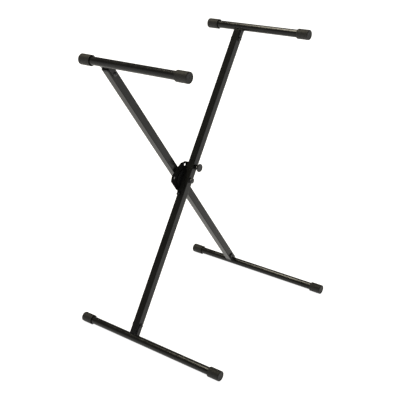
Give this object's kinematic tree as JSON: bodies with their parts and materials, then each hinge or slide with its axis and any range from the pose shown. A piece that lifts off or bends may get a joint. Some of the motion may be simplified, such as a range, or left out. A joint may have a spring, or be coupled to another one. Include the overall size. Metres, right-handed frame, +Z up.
{
  "type": "folding keyboard stand",
  "caption": "Black steel X-shaped folding stand for a keyboard: two crossed legs with foot bars and support arms, rubber end caps, and a hub with an index plate and pull pin.",
  "frame": {"origin": "on the floor, at the middle of the rectangle spanned by the foot bars with their caps", "axes": "+Z up, +Y along the foot bars and support arms, away from the player; +X across the X of the legs, from the front leg's foot to its arm"},
  "size_m": [0.653, 0.578, 0.9421],
  "materials": {
    "powder_coat": "satin black powder coat on steel tube",
    "hub_paint": "satin black paint on pressed steel",
    "cap_rubber": "matte black moulded rubber",
    "plug_plastic": "black moulded plastic",
    "knob_plastic": "semi-gloss black moulded plastic",
    "nylon": "black nylon",
    "black_fasteners": "black zinc plate with worn edges",
    "bare_steel": "zinc plated"
  },
  "bodies": {
    "front_frame": {"front_leg": "powder_coat", "front_leg_foot_plug": "plug_plastic", "front_leg_arm_plug": "plug_plastic", "front_foot_bar": "powder_coat", "front_arm_bar": "powder_coat", "front_foot_bracket": "powder_coat", "front_arm_bracket": "powder_coat", "front_foot_cap_near": "cap_rubber", "front_foot_cap_far": "cap_rubber", "front_arm_cap_near": "cap_rubber", "front_arm_cap_far": "cap_rubber", "front_bracket_bolts": "black_fasteners", "front_bracket_nuts": "black_fasteners", "pivot_bolt": "black_fasteners", "pivot_nut": "black_fasteners", "pivot_nut_washer": "black_fasteners", "pivot_sleeve": "bare_steel", "friction_disc": "nylon", "hub_bracket": "hub_paint", "hub_bracket_screw": "black_fasteners", "pin_guide": "hub_paint", "pin_spring": "bare_steel"},
    "rear_frame": {"rear_leg": "powder_coat", "rear_leg_foot_plug": "plug_plastic", "rear_leg_arm_plug": "plug_plastic", "rear_foot_bar": "powder_coat", "rear_arm_bar": "powder_coat", "rear_foot_bracket": "powder_coat", "rear_arm_bracket": "powder_coat", "rear_foot_cap_near": "cap_rubber", "rear_foot_cap_far": "cap_rubber", "rear_arm_cap_near": "cap_rubber", "rear_arm_cap_far": "cap_rubber", "rear_bracket_bolts": "black_fasteners", "rear_bracket_nuts": "black_fasteners", "pivot_bush": "bare_steel", "pivot_thrust_washer": "nylon", "index_plate": "hub_paint", "index_plate_boss": "hub_paint", "index_plate_spacers": "bare_steel", "index_plate_rivets": "bare_steel"},
    "pull_pin": {"index_pin": "bare_steel", "pull_knob": "knob_plastic"}
  },
  "joints": [
    {"name": "leg_pivot", "type": "hinge", "parent": "front_frame", "child": "rear_frame", "pos_m": [0, 0.0845, 0.47107], "axis": [0, 1, 0], "range_deg": [-40, 64.5]},
    {"name": "pin_slide", "type": "slide", "parent": "front_frame", "child": "pull_pin", "axis": [0, -1, 0], "range_m": [-0.0055, 0.002], "stiffness_N_per_m": 1500, "springref_m": -0.012, "deforming": ["pin_spring"]}
  ]
}
